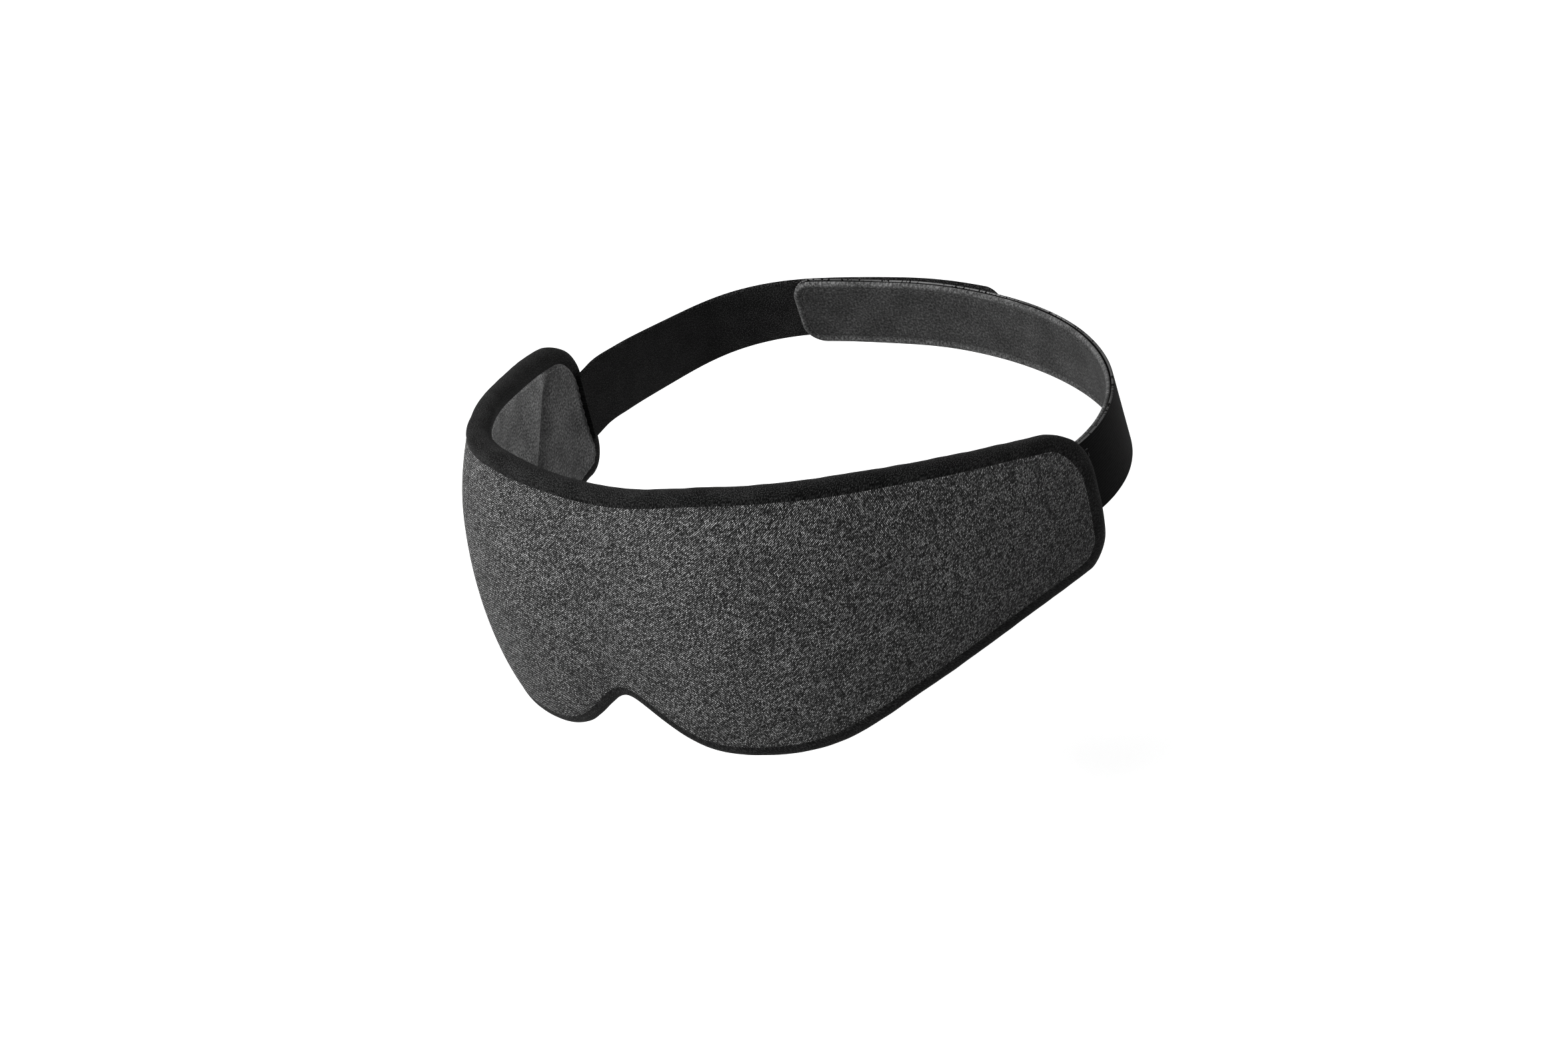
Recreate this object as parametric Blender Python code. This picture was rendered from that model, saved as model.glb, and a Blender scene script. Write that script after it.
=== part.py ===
"""Sleep eye mask: a padded face panel and a two-strap headband closed by hook and loop.

Metres, +Z up, +X to the wearer's left, -Y forwards, out of the face. The origin is the
centre of the head opening. Lengths below are in millimetres and become metres where points
are handed to Blender.

Two curves seen from above carry everything. The pad curve runs along the front of the padded
panel. The loop curve runs around the back of the head, from the right strap root to the left
one. A point is given by its distance along a curve, its height and its depth or offset.
"""
import math

import bmesh
import bpy
import numpy as np
from mathutils import Vector

MM = 0.001

# Pad curve: a Bezier from the nose to the left temple, mirrored for the right half
HALF_WIDTH = 80.4
NOSE_REACH = 91.8
NOSE_HANDLE = 16.5
TEMPLE_HANDLE = 102.8
TEMPLE_HEADING = math.radians(84)

# Pad outline: heights at fractions of the way from the nose to a temple
TOP_PLACES = (0.0, 0.25, 0.5, 0.75, 1.0)
TOP_HEIGHTS = (38.7, 41.5, 36.5, 27.0, 15.1)
BOTTOM_PLACES = (0.0, 0.2, 0.38, 0.55, 0.75, 1.0)
BOTTOM_HEIGHTS = (-30.6, -31.2, -31.1, -24.3, -20.0, -19.5)
NOTCH_RISE = 15.7
NOTCH_HALF_WIDTH = 14.9
TOP_CORNER = 10.9
BOTTOM_CORNER = 6.3

# The panel leans out over the cheeks: its depth changes with the drop below the brow
BROW_HEIGHT = 38.7
LEAN_SLOPE = -0.30
LEAN_CURVE = 0.0037

# The right wing lies tucked in a little, between two places along its half of the pad
RIGHT_TUCK = 3.5
TUCK_START = 0.35

# and its top is drawn in a little over the brow
BROW_TUCK = 1.1
BROW_TUCK_PLACE = -66.0
BROW_TUCK_WIDTH = 16.0
BROW_TUCK_HEIGHTS = (16.0, 40.0)

# Pad section, from the front face inwards to the wearer's face
PAD_DEPTH = 6.6
CLOTH = 1.0
GAP = 0.3
RIM_BULGE = 2.7
SEAM_INSET = 0.6
SEAM_GAP = 0.8
PADDING_RISE = 2.0
PADDING_FALLOFF = 6.0
EYE_OFFSET = 33.0
EYE_HEIGHT = 4.0
EYE_HALF_WIDTH = 27.0
EYE_HALF_HEIGHT = 22.0
EYE_RECESS = 3.5

# Loop curve: two Beziers that meet at the back of the head
BACK_POINT = (-30.0, 78.8)
BACK_HEADING = math.radians(7)
RIGHT_HANDLES = (60.0, 47.0)
LEFT_HANDLES = (45.6, 51.0)
RIGHT_LEAVE = math.radians(84)
LEFT_LEAVE = math.radians(87.5)
ROOT_CLEARANCE = 1.4
ROOT_DEPTH = 2.0
LOOP_PLACES = (0.0, 0.25, 0.5, 0.75, 1.0)
LOOP_HEIGHTS = (-1.8, -11.9, -11.4, -6.8, -1.3)
LOOP_WIDTHS = (21.6, 21.8, 19.8, 22.4, 21.8)
LOOP_LEANS = (0.0, 0.2, 0.0, 0.05, 0.0)

# Straps: distances outwards from the loop curve, and places as fractions of its length
LINING_LAYER = (-1.1, -0.15)
LOOP_FACE_LAYER = (0.15, 1.0)
BAND_THICKNESS = 1.4
HOOK_THICKNESS = 0.7
LINING_END = 0.296
TAB_HINGE = 0.275
TAB_TIP = 0.55
BAND_EASE = (0.03, 0.25)
BAND_MARGIN = 0.8
BAND_PLACES = (0.0, 0.05, 0.15, 0.24, 0.32, 0.42, 0.55)
BAND_DROPS = (-0.3, 1.0, 2.8, 2.3, 1.1, -0.1, -0.7)
TIP_RADIUS = 6.0
HOOK_INSET = 2.0
HOOK_START = 0.33

# Sewing thread
THREAD_RADIUS = 0.18
STITCH_STEP = 5.0
BORDER_INSET = 1.2
PATCH_ENDS = (0.01, 0.02)
ANCHOR_SEAM = (1.5, 4.0)
ANCHOR_HALF_HEIGHT = 8.0


def bezier(p0, p1, p2, p3, count):
    """Points of a cubic Bezier in the plan."""
    t = np.linspace(0, 1, count)[:, None]
    p0, p1, p2, p3 = (np.asarray(p, float) for p in (p0, p1, p2, p3))
    return (1 - t) ** 3 * p0 + 3 * (1 - t) ** 2 * t * p1 + 3 * (1 - t) * t ** 2 * p2 + t ** 3 * p3


def lengths_along(points):
    """Distance of each point from the first, along the polyline."""
    return np.concatenate(([0.0], np.cumsum(np.linalg.norm(np.diff(points, axis=0), axis=1))))


def heading(angle):
    return np.array([math.cos(angle), math.sin(angle)])


def smooth_through(places, values, u):
    """Smooth curve through a few values, level at the first place."""
    places, values = np.asarray(places), np.asarray(values)
    slopes = np.gradient(values, places)
    slopes[0] = 0
    i = np.clip(np.searchsorted(places, u, side="right") - 1, 0, len(places) - 2)
    step = places[i + 1] - places[i]
    t = (u - places[i]) / step
    start = (1 + 2 * t) * (1 - t) ** 2 * values[i] + t * (1 - t) ** 2 * step * slopes[i]
    end = t ** 2 * (3 - 2 * t) * values[i + 1] + t ** 2 * (t - 1) * step * slopes[i + 1]
    return start + end


def ease(u, start, end):
    """0 before start, 1 after end, smooth between."""
    t = np.clip((u - start) / (end - start), 0, 1)
    return t * t * (3 - 2 * t)


# ---- the pad curve ----

TEMPLE = np.array([HALF_WIDTH, 0.0])
NOSE = np.array([0.0, -NOSE_REACH])
PAD_CURVE = bezier(NOSE, NOSE + [NOSE_HANDLE, 0],
                   TEMPLE - heading(TEMPLE_HEADING) * TEMPLE_HANDLE, TEMPLE, 300)
PAD_LENGTHS = lengths_along(PAD_CURVE)
PAD_HALF = PAD_LENGTHS[-1]
PAD_TANGENTS = np.gradient(PAD_CURVE, axis=0)
PAD_TANGENTS /= np.linalg.norm(PAD_TANGENTS, axis=1)[:, None]


def pad_point(s, z, depth):
    """Point of the pad: s along the front (+ to the wearer's left), z up, depth towards the face."""
    along = min(abs(s), PAD_HALF)
    x, y = (np.interp(along, PAD_LENGTHS, PAD_CURVE[:, k]) for k in (0, 1))
    tx, ty = (np.interp(along, PAD_LENGTHS, PAD_TANGENTS[:, k]) for k in (0, 1))
    drop = max(BROW_HEIGHT - z, 0.0)
    inwards = LEAN_SLOPE * drop + LEAN_CURVE * drop ** 2 + depth
    if s < 0:
        tucked = max(along / PAD_HALF - TUCK_START, 0.0) / (1 - TUCK_START)
        inwards += RIGHT_TUCK * math.sin(math.pi * tucked) ** 2
    nearby = math.exp(-((s - BROW_TUCK_PLACE) / BROW_TUCK_WIDTH) ** 2)
    inwards += BROW_TUCK * nearby * float(ease(z, *BROW_TUCK_HEIGHTS))
    beyond = abs(s) - along
    x += -ty * inwards + tx * beyond
    y += tx * inwards + ty * beyond
    return Vector((math.copysign(1, s) * x, y, z))


def top_height(s):
    u = abs(s) / PAD_HALF
    beyond = np.clip(abs(s) - (PAD_HALF - TOP_CORNER), 0, TOP_CORNER)
    corner = TOP_CORNER - np.sqrt(TOP_CORNER ** 2 - beyond ** 2)
    return smooth_through(TOP_PLACES, TOP_HEIGHTS, u) - corner


def bottom_height(s):
    u = abs(s) / PAD_HALF
    beyond = np.clip(abs(s) - (PAD_HALF - BOTTOM_CORNER), 0, BOTTOM_CORNER)
    corner = BOTTOM_CORNER - np.sqrt(BOTTOM_CORNER ** 2 - beyond ** 2)
    notch = NOTCH_RISE * np.exp(-(s / NOTCH_HALF_WIDTH) ** 2)
    return smooth_through(BOTTOM_PLACES, BOTTOM_HEIGHTS, u) + notch + corner


def pad_edge(height, inwards, inset, count):
    """Even (s, z) points along an edge from the right end to the left, moved in by inset."""
    s = PAD_HALF * np.sin(np.linspace(-math.pi / 2, math.pi / 2, 1201))
    edge = np.stack([s, height(s)], axis=1)
    along = np.gradient(edge, axis=0)
    along /= np.linalg.norm(along, axis=1)[:, None]
    normal = np.stack([-along[:, 1], along[:, 0]], axis=1) * inwards
    lengths = lengths_along(edge)
    places = np.linspace(0, lengths[-1], count)
    moved = edge + normal * inset
    return np.stack([np.interp(places, lengths, moved[:, k]) for k in (0, 1)], axis=1)


def pad_loop(inset, count):
    """(s, z) points once around the pad's outline, moved in by inset."""
    top = pad_edge(top_height, -1, inset, 400)
    bottom = pad_edge(bottom_height, 1, inset, 400)[::-1]
    ring = np.concatenate([top, bottom, top[:1]])
    lengths = lengths_along(ring)
    places = np.linspace(0, lengths[-1], count + 1)[:-1]
    return np.stack([np.interp(places, lengths, ring[:, k]) for k in (0, 1)], axis=1)


def face_depth(s, z):
    """Depth of the face side: padding that swells from the rim, with a hollow over each eye."""
    rim = min(top_height(s) - z, z - bottom_height(s), PAD_HALF - abs(s))
    swell = PADDING_RISE * (1 - math.exp(-max(rim, 0.0) / PADDING_FALLOFF))
    reach = ((abs(s) - EYE_OFFSET) / EYE_HALF_WIDTH) ** 2 + ((z - EYE_HEIGHT) / EYE_HALF_HEIGHT) ** 2
    hollow = EYE_RECESS * max(1 - reach, 0.0) ** 1.5
    return PAD_DEPTH + swell - hollow


# ---- the loop curve ----

def loop_half(side, handles, leave):
    """Plan points of one strap's side of the loop, from its root to the back point."""
    out = heading(TEMPLE_HEADING) * [side, 1]
    start = heading(leave) * [side, 1]
    inwards = np.array([-math.sin(TEMPLE_HEADING) * side, math.cos(TEMPLE_HEADING)])
    root = TEMPLE * [side, 1] + out * (RIM_BULGE + ROOT_CLEARANCE) + inwards * ROOT_DEPTH
    back = np.array(BACK_POINT)
    return bezier(root, root + start * handles[0],
                  back + side * heading(BACK_HEADING) * handles[1], back, 200)


LOOP_CURVE = np.concatenate([loop_half(-1, RIGHT_HANDLES, RIGHT_LEAVE),
                             loop_half(1, LEFT_HANDLES, LEFT_LEAVE)[-2::-1]])
LOOP_LENGTHS = lengths_along(LOOP_CURVE)
LOOP_TOTAL = LOOP_LENGTHS[-1]


def loop_point(u, across, outwards):
    """Point of the headband: u from 0 to 1 around it, across its width, and outwards."""
    s = u * LOOP_TOTAL
    x, y = (np.interp(s, LOOP_LENGTHS, LOOP_CURVE[:, k]) for k in (0, 1))
    ahead, behind = min(s + 0.5, LOOP_TOTAL), max(s - 0.5, 0.0)
    tx, ty = (np.interp(ahead, LOOP_LENGTHS, LOOP_CURVE[:, k])
              - np.interp(behind, LOOP_LENGTHS, LOOP_CURVE[:, k]) for k in (0, 1))
    out = Vector((-ty, tx, 0)).normalized()
    up = (Vector((0, 0, 1)) - out * float(smooth_through(LOOP_PLACES, LOOP_LEANS, u))).normalized()
    along = Vector((tx, ty, 0)).normalized()
    normal = up.cross(along).normalized()
    centre = Vector((x, y, float(smooth_through(LOOP_PLACES, LOOP_HEIGHTS, u))))
    return centre + up * across + normal * outwards


def strap_half_width(u):
    return float(smooth_through(LOOP_PLACES, LOOP_WIDTHS, u)) / 2


def tip_half_width(u, tip, half, radius):
    """Half width near a tip with rounded corners."""
    into = min(abs(u - tip) * LOOP_TOTAL, radius)
    return half - radius + math.sqrt(radius ** 2 - (radius - into) ** 2)


# ---- building ----

def material(name, value, roughness):
    made = bpy.data.materials.new(name)
    made.use_nodes = True
    shader = made.node_tree.nodes["Principled BSDF"]
    shader.inputs["Base Color"].default_value = (value, value, value, 1)
    shader.inputs["Roughness"].default_value = roughness
    shader.inputs["Metallic"].default_value = 0.0
    return made


def place(name, mesh_or_curve, value, roughness=0.9):
    """Give the object its material and put it in the parts collection."""
    obj = bpy.data.objects.new(name, mesh_or_curve)
    mesh_or_curve.materials.append(material(name, value, roughness))
    bpy.data.collections["sleep_eye_mask"].objects.link(obj)
    return obj


def sheet_solid(name, columns, rows, near, far, value):
    """Closed sheet between two surfaces, each a function of (a, b) from 0 to 1."""
    bm = bmesh.new()
    for surface in (near, far):
        grid = bmesh.ops.create_grid(bm, x_segments=columns, y_segments=rows, size=0.5)
        for vert in grid["verts"]:
            vert.co = surface(vert.co.x + 0.5, vert.co.y + 0.5) * MM
    bmesh.ops.bridge_loops(bm, edges=[edge for edge in bm.edges if edge.is_boundary])
    bmesh.ops.recalc_face_normals(bm, faces=bm.faces)
    mesh = bpy.data.meshes.new(name)
    bm.to_mesh(mesh)
    bm.free()
    mesh.shade_smooth()
    mesh.set_sharp_from_angle(angle=math.radians(40))
    return place(name, mesh, value)


def pad_panel(name, columns, rows, inset, front, back, value):
    """Sheet across the whole pad between two depths, each a function of (s, z)."""
    top = pad_edge(top_height, -1, inset, columns + 1)
    bottom = pad_edge(bottom_height, 1, inset, columns + 1)

    def at(depth):
        def point(a, b):
            column = round(a * columns)
            rise = (1 - math.cos(math.pi * b)) / 2
            s, z = bottom[column] * (1 - rise) + top[column] * rise
            return pad_point(s, z, depth(s, z))
        return point
    return sheet_solid(name, columns, rows, at(front), at(back), value)


def thread_loop(name, points, value):
    """Closed loop of sewing thread through the points."""
    curve = bpy.data.curves.new(name, "CURVE")
    curve.dimensions = "3D"
    curve.bevel_depth = THREAD_RADIUS * MM
    curve.bevel_resolution = 0
    spline = curve.splines.new("POLY")
    spline.points.add(len(points) - 1)
    spline.use_cyclic_u = True
    for slot, point in zip(spline.points, points):
        slot.co = (*(point * MM), 1)
    return place(name, curve, value)


# ---- the padded mask ----

def outer_cover():
    """Heather knit on the front face."""
    pad_panel("outer_cover", 56, 9, SEAM_INSET + SEAM_GAP,
              lambda s, z: 0.0, lambda s, z: CLOTH, 0.06)


def foam_core():
    """Foam between the cover and the lining, hollowed over each eye."""
    pad_panel("foam_core", 56, 12, SEAM_INSET + SEAM_GAP + CLOTH,
              lambda s, z: CLOTH + GAP, lambda s, z: face_depth(s, z) - CLOTH - GAP, 0.5)


def inner_lining():
    """Brushed lining on the face side."""
    pad_panel("inner_lining", 56, 12, SEAM_INSET + SEAM_GAP,
              lambda s, z: face_depth(s, z) - CLOTH, face_depth, 0.06)


def edge_gusset():
    """Black strip around the rim that joins the cover to the lining and bulges outwards."""
    around, arc_steps = 112, 6
    angles = np.linspace(-math.pi / 2, math.pi / 2, arc_steps + 1)

    def arc(wall):
        half_depth = PAD_DEPTH / 2 - wall
        reach = RIM_BULGE + SEAM_INSET - wall
        return [(SEAM_INSET - reach * math.cos(a), PAD_DEPTH / 2 + half_depth * math.sin(a))
                for a in angles]
    section = arc(0.0) + arc(CLOTH)[::-1]
    outline = pad_loop(0.0, around)
    outward = pad_loop(-1.0, around) - outline
    bm = bmesh.new()
    grid = bmesh.ops.create_grid(bm, x_segments=around, y_segments=len(section), size=0.5)
    for vert in grid["verts"]:
        k = round((vert.co.x + 0.5) * around) % around
        inset, depth = section[round((vert.co.y + 0.5) * len(section)) % len(section)]
        s, z = outline[k] - outward[k] * inset
        vert.co = pad_point(s, z, depth) * MM
    bmesh.ops.remove_doubles(bm, verts=bm.verts, dist=1e-6)
    bmesh.ops.recalc_face_normals(bm, faces=bm.faces)
    mesh = bpy.data.meshes.new("edge_gusset")
    bm.to_mesh(mesh)
    bm.free()
    mesh.shade_smooth()
    place("edge_gusset", mesh, 0.012)


def pad_thread(name, inset, depth, value):
    """Thread loop that follows the pad's outline."""
    outline = pad_loop(inset, 110)
    thread_loop(name, [pad_point(s, z, depth(s, z)) for s, z in outline], value)


def pad_threads():
    sunk = CLOTH + GAP + THREAD_RADIUS
    pad_thread("front_seam_thread", SEAM_INSET + SEAM_GAP, lambda s, z: sunk, 0.02)
    pad_thread("lining_seam_thread", SEAM_INSET + SEAM_GAP + 1.0,
               lambda s, z: face_depth(s, z) + GAP + THREAD_RADIUS, 0.12)


# ---- the headband ----

def no_drop(u):
    return 0.0


def band_drop(u):
    """How far the black band lies below the loop curve's middle height."""
    return float(smooth_through(BAND_PLACES, BAND_DROPS, min(u, BAND_PLACES[-1])))


def strap_sheet(name, start, end, layer, half_width, drop, value, steps):
    """Sheet along the loop curve; layer, half_width and drop are functions of u."""
    def at(side):
        def point(a, b):
            u = start + (end - start) * a
            return loop_point(u, (2 * b - 1) * half_width(u) - drop(u), layer(u)[side])
        return point
    return sheet_solid(name, steps, 2, at(0), at(1), value)


def grey_half_width(u):
    return tip_half_width(u, LINING_END, strap_half_width(u), TIP_RADIUS)


def band_half_width(u):
    return tip_half_width(u, TAB_TIP, strap_half_width(u) - BAND_MARGIN, TIP_RADIUS)


def band_layer(u):
    """The black band starts on the loop curve and moves out to clear the grey strap."""
    clear = LOOP_FACE_LAYER[1] + 2 * GAP + HOOK_THICKNESS
    inner = -BAND_THICKNESS / 2 + (clear + BAND_THICKNESS / 2) * float(ease(u, *BAND_EASE))
    return inner, inner + BAND_THICKNESS


def left_strap():
    """Two-ply strap on the wearer's left: grey lining inside, black loop face outside."""
    strap_sheet("left_strap_lining", 1.0, LINING_END, lambda u: LINING_LAYER,
                grey_half_width, no_drop, 0.045, 44)
    strap_sheet("left_strap_loop_face", 1.0, LINING_END, lambda u: LOOP_FACE_LAYER,
                grey_half_width, no_drop, 0.01, 44)


def right_strap():
    """Black band on the wearer's right, and its closure tab, which peels off the loop face."""
    hinge_gap = (BAND_THICKNESS / 2 + GAP) / LOOP_TOTAL
    strap_sheet("right_strap_band", 0.0, TAB_HINGE - hinge_gap, band_layer,
                band_half_width, band_drop, 0.012, 30)
    strap_sheet("closure_tab", TAB_HINGE, TAB_TIP, band_layer,
                band_half_width, band_drop, 0.012, 30)


def hook_half_width(u):
    return strap_half_width(u) - BAND_MARGIN - HOOK_INSET


def hook_patch():
    """Hook tape sewn to the inner face of the closure tab."""
    end = TAB_TIP - 2 * HOOK_INSET / LOOP_TOTAL

    def layer(u):
        inner = band_layer(u)[0] - GAP
        return inner - HOOK_THICKNESS, inner
    strap_sheet("hook_patch", HOOK_START, end, layer, hook_half_width, band_drop, 0.015, 20)


def strap_border(start, end, half_width, inset):
    """(u, across) points around a patch of strap, evenly spaced along its long sides."""
    count = math.ceil(abs(end - start) * LOOP_TOTAL / STITCH_STEP)
    places = [start + (end - start) * k / count for k in range(count + 1)]
    upper = [(u, half_width(u) - inset) for u in places]
    return upper + [(u, -across) for u, across in reversed(upper)]


def strap_threads():
    """Border stitching of the left strap, and the stitching that holds the hook patch."""
    tip = LINING_END + BORDER_INSET / LOOP_TOTAL
    border = strap_border(1.0 - PATCH_ENDS[0], tip, grey_half_width, BORDER_INSET)
    lift = LINING_LAYER[0] - GAP - THREAD_RADIUS
    thread_loop("left_strap_border_thread", [loop_point(u, v, lift) for u, v in border], 0.15)
    patch = strap_border(HOOK_START + PATCH_ENDS[0], TAB_TIP - PATCH_ENDS[1], hook_half_width, BORDER_INSET)
    outside = [loop_point(u, v - band_drop(u), band_layer(u)[1] + GAP + THREAD_RADIUS)
               for u, v in patch]
    thread_loop("hook_patch_thread", outside, 0.02)
    lift = GAP + THREAD_RADIUS
    for side, root, outer in (("left", 1.0, LOOP_FACE_LAYER[1]), ("right", 0.0, BAND_THICKNESS / 2)):
        ends = [abs(root - reach / LOOP_TOTAL) for reach in ANCHOR_SEAM]
        seam = [(u, sign * ANCHOR_HALF_HEIGHT * k) for sign, u in zip((1, -1), ends)
                for k in (-1.0, -0.5, 0.0, 0.5, 1.0)]
        thread_loop(side + "_anchor_thread", [loop_point(u, v, outer + lift) for u, v in seam], 0.02)


def build():
    for obj in list(bpy.data.objects):
        bpy.data.objects.remove(obj, do_unlink=True)
    collection = bpy.data.collections.new("sleep_eye_mask")
    bpy.context.scene.collection.children.link(collection)
    outer_cover()
    foam_core()
    inner_lining()
    edge_gusset()
    pad_threads()
    left_strap()
    right_strap()
    hook_patch()
    strap_threads()


build()
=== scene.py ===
"""Looks of the sleep eye mask: cloth, padding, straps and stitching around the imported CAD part.

Lengths are in millimetres until a mesh is made, and the frame is the CAD's: +Z up, +X to the
wearer's left, -Y forwards. The pad and the headband lie on the same two curves as the CAD's
solids. A pad point is (s, z, depth): distance along the front from the nose, height, and depth
towards the face. A strap point is (u, across, outwards): share of the way around the head from
the right root, height on the strap, and distance out from the headband curve.
"""
import math

import bmesh
import bpy
import numpy as np
from mathutils import Matrix, Vector


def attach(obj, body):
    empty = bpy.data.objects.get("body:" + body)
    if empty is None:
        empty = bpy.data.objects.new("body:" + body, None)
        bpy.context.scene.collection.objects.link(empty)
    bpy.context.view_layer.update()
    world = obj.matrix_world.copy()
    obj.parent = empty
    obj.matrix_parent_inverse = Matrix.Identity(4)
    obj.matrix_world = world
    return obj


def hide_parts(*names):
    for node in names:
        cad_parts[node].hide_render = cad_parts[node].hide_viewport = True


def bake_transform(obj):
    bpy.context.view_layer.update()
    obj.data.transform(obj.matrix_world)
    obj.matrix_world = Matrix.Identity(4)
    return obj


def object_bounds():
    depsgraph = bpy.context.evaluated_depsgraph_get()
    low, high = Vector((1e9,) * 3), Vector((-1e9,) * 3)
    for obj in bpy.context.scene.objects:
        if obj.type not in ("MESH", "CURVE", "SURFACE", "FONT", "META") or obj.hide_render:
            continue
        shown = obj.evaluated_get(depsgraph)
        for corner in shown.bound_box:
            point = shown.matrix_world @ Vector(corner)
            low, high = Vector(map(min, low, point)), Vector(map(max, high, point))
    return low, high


MM = 0.001

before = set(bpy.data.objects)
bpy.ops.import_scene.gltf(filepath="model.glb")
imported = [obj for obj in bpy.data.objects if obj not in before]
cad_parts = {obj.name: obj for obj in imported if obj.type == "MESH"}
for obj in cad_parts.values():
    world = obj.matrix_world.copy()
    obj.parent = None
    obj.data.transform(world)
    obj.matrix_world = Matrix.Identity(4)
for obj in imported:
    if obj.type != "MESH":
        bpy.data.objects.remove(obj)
CAD_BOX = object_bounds()

# ---- the CAD's driving dimensions ----

HALF_WIDTH = 80.4
NOSE_REACH = 91.8
NOSE_HANDLE = 16.5
TEMPLE_HANDLE = 102.8
TEMPLE_HEADING = math.radians(84)
TOP_PLACES = (0.0, 0.25, 0.5, 0.75, 1.0)
TOP_HEIGHTS = (38.7, 41.5, 36.5, 27.0, 15.1)
BOTTOM_PLACES = (0.0, 0.2, 0.38, 0.55, 0.75, 1.0)
BOTTOM_HEIGHTS = (-30.6, -31.2, -31.1, -24.3, -20.0, -19.5)
NOTCH_RISE = 15.7
NOTCH_HALF_WIDTH = 14.9
TOP_CORNER = 10.9
BOTTOM_CORNER = 6.3
BROW_HEIGHT = 38.7
LEAN_SLOPE = -0.30
LEAN_CURVE = 0.0037
RIGHT_TUCK = 3.5
TUCK_START = 0.35
BROW_TUCK = 1.1
BROW_TUCK_PLACE = -66.0
BROW_TUCK_WIDTH = 16.0
BROW_TUCK_HEIGHTS = (16.0, 40.0)
PAD_DEPTH = 6.6
CLOTH = 1.0
GAP = 0.3
RIM_BULGE = 2.7
SEAM_INSET = 0.6
SEAM_GAP = 0.8
PADDING_RISE = 2.0
PADDING_FALLOFF = 6.0
EYE_OFFSET = 33.0
EYE_HEIGHT = 4.0
EYE_HALF_WIDTH = 27.0
EYE_HALF_HEIGHT = 22.0
EYE_RECESS = 3.5

BACK_POINT = (-30.0, 78.8)
BACK_HEADING = math.radians(7)
RIGHT_HANDLES = (60.0, 47.0)
LEFT_HANDLES = (45.6, 51.0)
RIGHT_LEAVE = math.radians(84)
LEFT_LEAVE = math.radians(87.5)
ROOT_CLEARANCE = 1.4
ROOT_DEPTH = 2.0
LOOP_PLACES = (0.0, 0.25, 0.5, 0.75, 1.0)
LOOP_HEIGHTS = (-1.8, -11.9, -11.4, -6.8, -1.3)
LOOP_WIDTHS = (21.6, 21.8, 19.8, 22.4, 21.8)
LOOP_LEANS = (0.0, 0.2, 0.0, 0.05, 0.0)
LINING_LAYER = (-1.1, -0.15)
LOOP_FACE_LAYER = (0.15, 1.0)
BAND_THICKNESS = 1.4
HOOK_THICKNESS = 0.7
LINING_END = 0.296
TAB_HINGE = 0.275
TAB_TIP = 0.55
BAND_EASE = (0.03, 0.25)
BAND_PLACES = (0.0, 0.05, 0.15, 0.24, 0.32, 0.42, 0.55)
BAND_MARGIN = 0.8
BAND_DROPS = (-0.3, 1.0, 2.8, 2.3, 1.1, -0.1, -0.7)
TIP_RADIUS = 6.0
HOOK_INSET = 2.0
HOOK_START = 0.33

# ---- dimensions of the looks ----

COLUMNS = 300            # points along the pad
COVER_ROWS = 72
LINING_ROWS = 60
FOAM_ROWS = 40
OUTLINE_POINTS = 1400
SHEET_THICKNESS = 0.8    # of the knit and the lining
TOP_SEAM = 0.0           # inset of the knit's seam from the outline, along the top
SEAM_CHANGE = (6.0, 20.0)        # distances below z = 0 over which it passes to the lower inset
BOTTOM_SEAM = 1.2        # lower inset towards the left temple
CHEEK_SEAM = -1.0        # lower inset at the right cheek, where the knit rolls over the edge
CHEEK_CHANGE = (-20.0, 70.0)     # s over which one passes to the other
TEMPLE_SEAM = 1.5        # added at the temples
TEMPLE_REACH = 10.0      # within this distance of the pad's ends
BACK_SEAM = 1.5          # inset of the binding's seam on the face side
LINING_SEAM = 1.1        # inset of the lining's edge, which the binding covers
CREASE_PLACE = (106.5, 3.5)      # distance from the nose and height of the fold across a wing
CREASE_DEPTH = 1.6
CREASE_WIDTH = 4.0       # distance across it over which it fades out
CREASE_SWELL = 1.4       # how far the lining stands out beside the fold
CREASE_EASE = (2.0, 9.0)         # distances from the rim over which the fold sets in
SWELL_PUSH = 0.4         # pressure of the foam in the cloth simulation
SWELL_CAP = 0.4          # how far it may move the lining
SWELL_EASE = (3.0, 9.0)  # distances from the rim over which it gets free to move
SWELL_FRAMES = 20
END_BULGE = 1.2          # how much further the rim stands out at the temples
END_REACH = 0.93         # share of the pad's half where that begins
PUCKER = 0.10            # unevenness of the rim
COVER_CROWN = 0.6        # how far the padding pushes the knit out
COVER_CROWN_REACH = 6.0
COVER_UNEVEN = 0.05      # unevenness of the knit
RIM_FULLNESS = 0.65      # below 1 the binding's section is flatter outside and rounder at the seams
SEAM_TUCK = 0.9          # how deep the cloth edges turn into the rim seams
SEAM_ROUND = 1.4         # radius over which they turn
ROOT_OVERLAP = 6.0       # strap cloth sewn in behind the rim
RIDGE_WIDTH = 1.8        # raised border of the grey strap, inside its edge
RIDGE_RISE = 0.3
GROOVE_PLACE = RIDGE_WIDTH * 1.2         # groove of the border stitching, from the edge
GROOVE_DEPTH = 0.22
GROOVE_WIDTH = 0.45
STRAP_STEP = 0.9         # distance between points along a strap
STRAP_COLUMNS = 49       # points across a strap
LEFT_BEND = 9.0          # length of strap from each joint that is passed to bend, which leaves it straight
RIGHT_BEND = 16.0
TAB_BEND = 13.0
THREAD = 0.13            # sewing thread radius
STITCH_SHARE = 0.65      # share of the pitch that a stitch covers
STITCH_SINK = 0.08       # how far a stitch's ends lie under the cloth
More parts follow.
